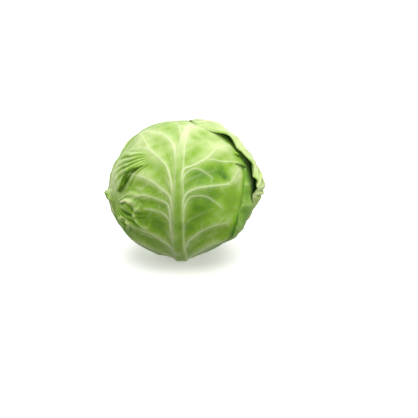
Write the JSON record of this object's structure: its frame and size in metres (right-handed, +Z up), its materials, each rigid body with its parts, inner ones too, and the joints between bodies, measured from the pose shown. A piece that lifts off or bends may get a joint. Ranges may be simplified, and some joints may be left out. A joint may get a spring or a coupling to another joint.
{
  "type": "cabbage",
  "caption": "Round head of green cabbage standing on its cut stem: broad ribbed wrapper leaves with waved, lifted edges overlap each other over a tight inner head.",
  "frame": {"origin": "centre of the stem's cut face, which the head stands on", "axes": "+Z up the stem through the crown, -Y the way the front leaf's midrib faces, +X to the right seen from that side"},
  "size_m": [0.1669, 0.1616, 0.1513],
  "materials": {
    "stem": "moist cut stem, cream with a paler pith",
    "heart": "waxy, pale green leaf",
    "inner_leaf": "waxy, fresh green leaf",
    "outer_leaf": "waxy, pale green leaf with whitish veins"
  },
  "bodies": {
    "root": {"stem": "stem", "heart": "heart", "inner_leaf_back": "inner_leaf", "inner_leaf_left": "inner_leaf", "inner_leaf_right": "inner_leaf", "leaf_left": "outer_leaf", "leaf_front": "outer_leaf", "leaf_right": "outer_leaf"}
  },
  "joints": []
}
